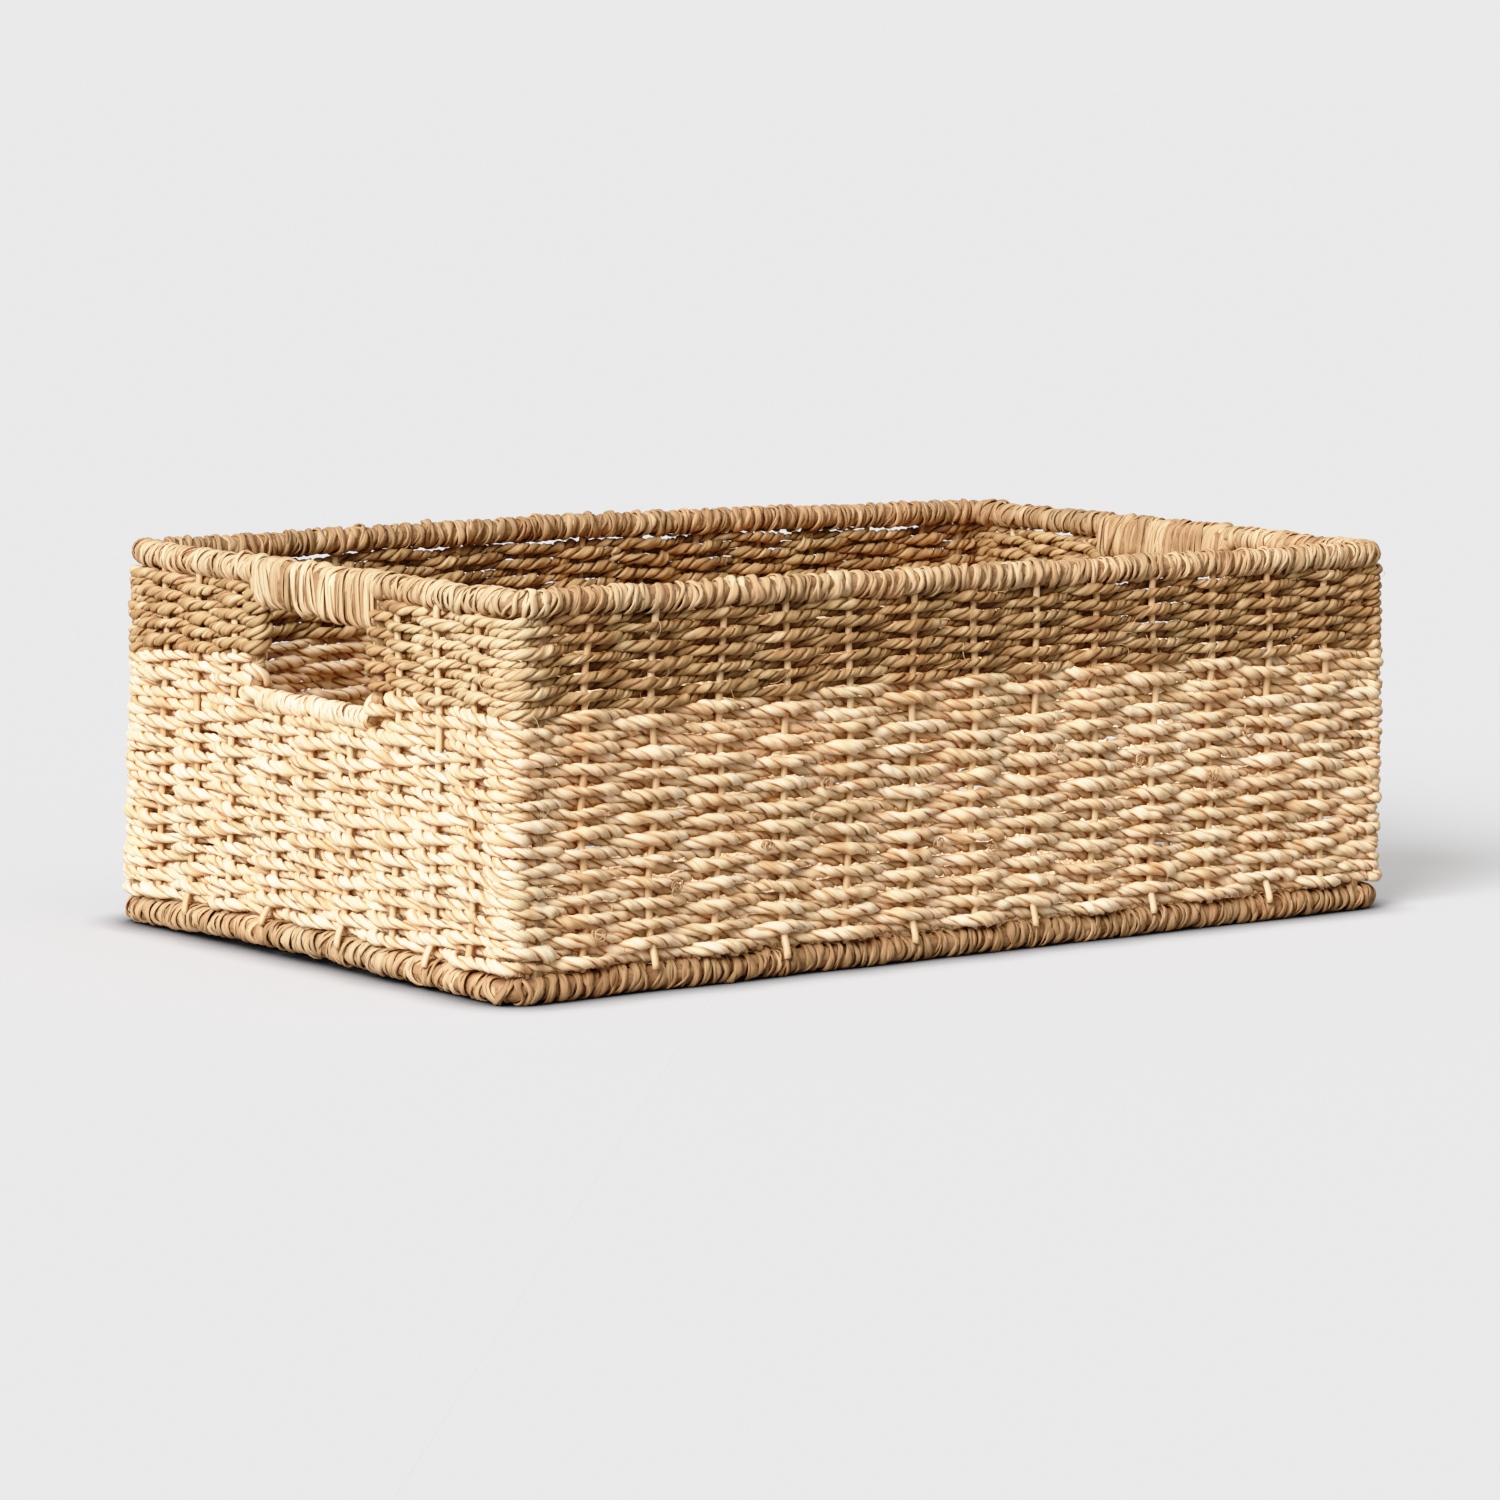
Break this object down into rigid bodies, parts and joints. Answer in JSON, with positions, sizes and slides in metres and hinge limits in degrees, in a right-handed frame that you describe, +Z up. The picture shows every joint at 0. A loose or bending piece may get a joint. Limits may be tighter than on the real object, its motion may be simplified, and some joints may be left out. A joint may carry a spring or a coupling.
{
  "type": "woven storage basket",
  "caption": "Open rectangular storage basket of twisted seagrass rope woven on rattan stakes and a wire frame, with wrapped rims and a hand hole at each end.",
  "frame": {"origin": "centre of the footprint, on the plane the basket rests on", "axes": "+X along the long walls, +Y from the front wall to the back wall, +Z up"},
  "size_m": [0.481, 0.273, 0.16],
  "materials": {
    "steel_wire": "dull dark coat, hidden inside the wraps",
    "rattan": "dry peeled round reed",
    "tan_strand": "dry fibrous strands wound side by side",
    "tan_rope": "dry two-ply twisted seagrass rope",
    "straw_rope": "dry pale two-ply twisted rope"
  },
  "bodies": {
    "root": {"wire_frame": "steel_wire", "front_stake_01": "rattan", "front_stake_02": "rattan", "front_stake_03": "rattan", "front_stake_04": "rattan", "front_stake_05": "rattan", "front_stake_06": "rattan", "front_stake_07": "rattan", "front_stake_08": "rattan", "front_stake_09": "rattan", "front_stake_10": "rattan", "front_stake_11": "rattan", "front_stake_12": "rattan", "front_stake_13": "rattan", "back_stake_01": "rattan", "back_stake_02": "rattan", "back_stake_03": "rattan", "back_stake_04": "rattan", "back_stake_05": "rattan", "back_stake_06": "rattan", "back_stake_07": "rattan", "back_stake_08": "rattan", "back_stake_09": "rattan", "back_stake_10": "rattan", "back_stake_11": "rattan", "back_stake_12": "rattan", "back_stake_13": "rattan", "left_stake_1": "rattan", "left_stake_2": "rattan", "left_stake_3": "rattan", "left_stake_4": "rattan", "left_stake_5": "rattan", "left_stake_6": "rattan", "left_stake_7": "rattan", "left_stake_8": "rattan", "left_stake_9": "rattan", "right_stake_1": "rattan", "right_stake_2": "rattan", "right_stake_3": "rattan", "right_stake_4": "rattan", "right_stake_5": "rattan", "right_stake_6": "rattan", "right_stake_7": "rattan", "right_stake_8": "rattan", "right_stake_9": "rattan", "floor_stake_1": "rattan", "floor_stake_2": "rattan", "floor_stake_3": "rattan", "floor_stake_4": "rattan", "lower_weave": "straw_rope", "floor_weave": "straw_rope", "left_sill_wrap": "straw_rope", "right_sill_wrap": "straw_rope", "upper_weave_front": "tan_rope", "upper_weave_back": "tan_rope", "rim_wrap_front": "tan_strand", "rim_wrap_back": "tan_strand", "base_wrap": "tan_strand", "left_grip": "tan_strand", "right_grip": "tan_strand"}
  },
  "joints": []
}
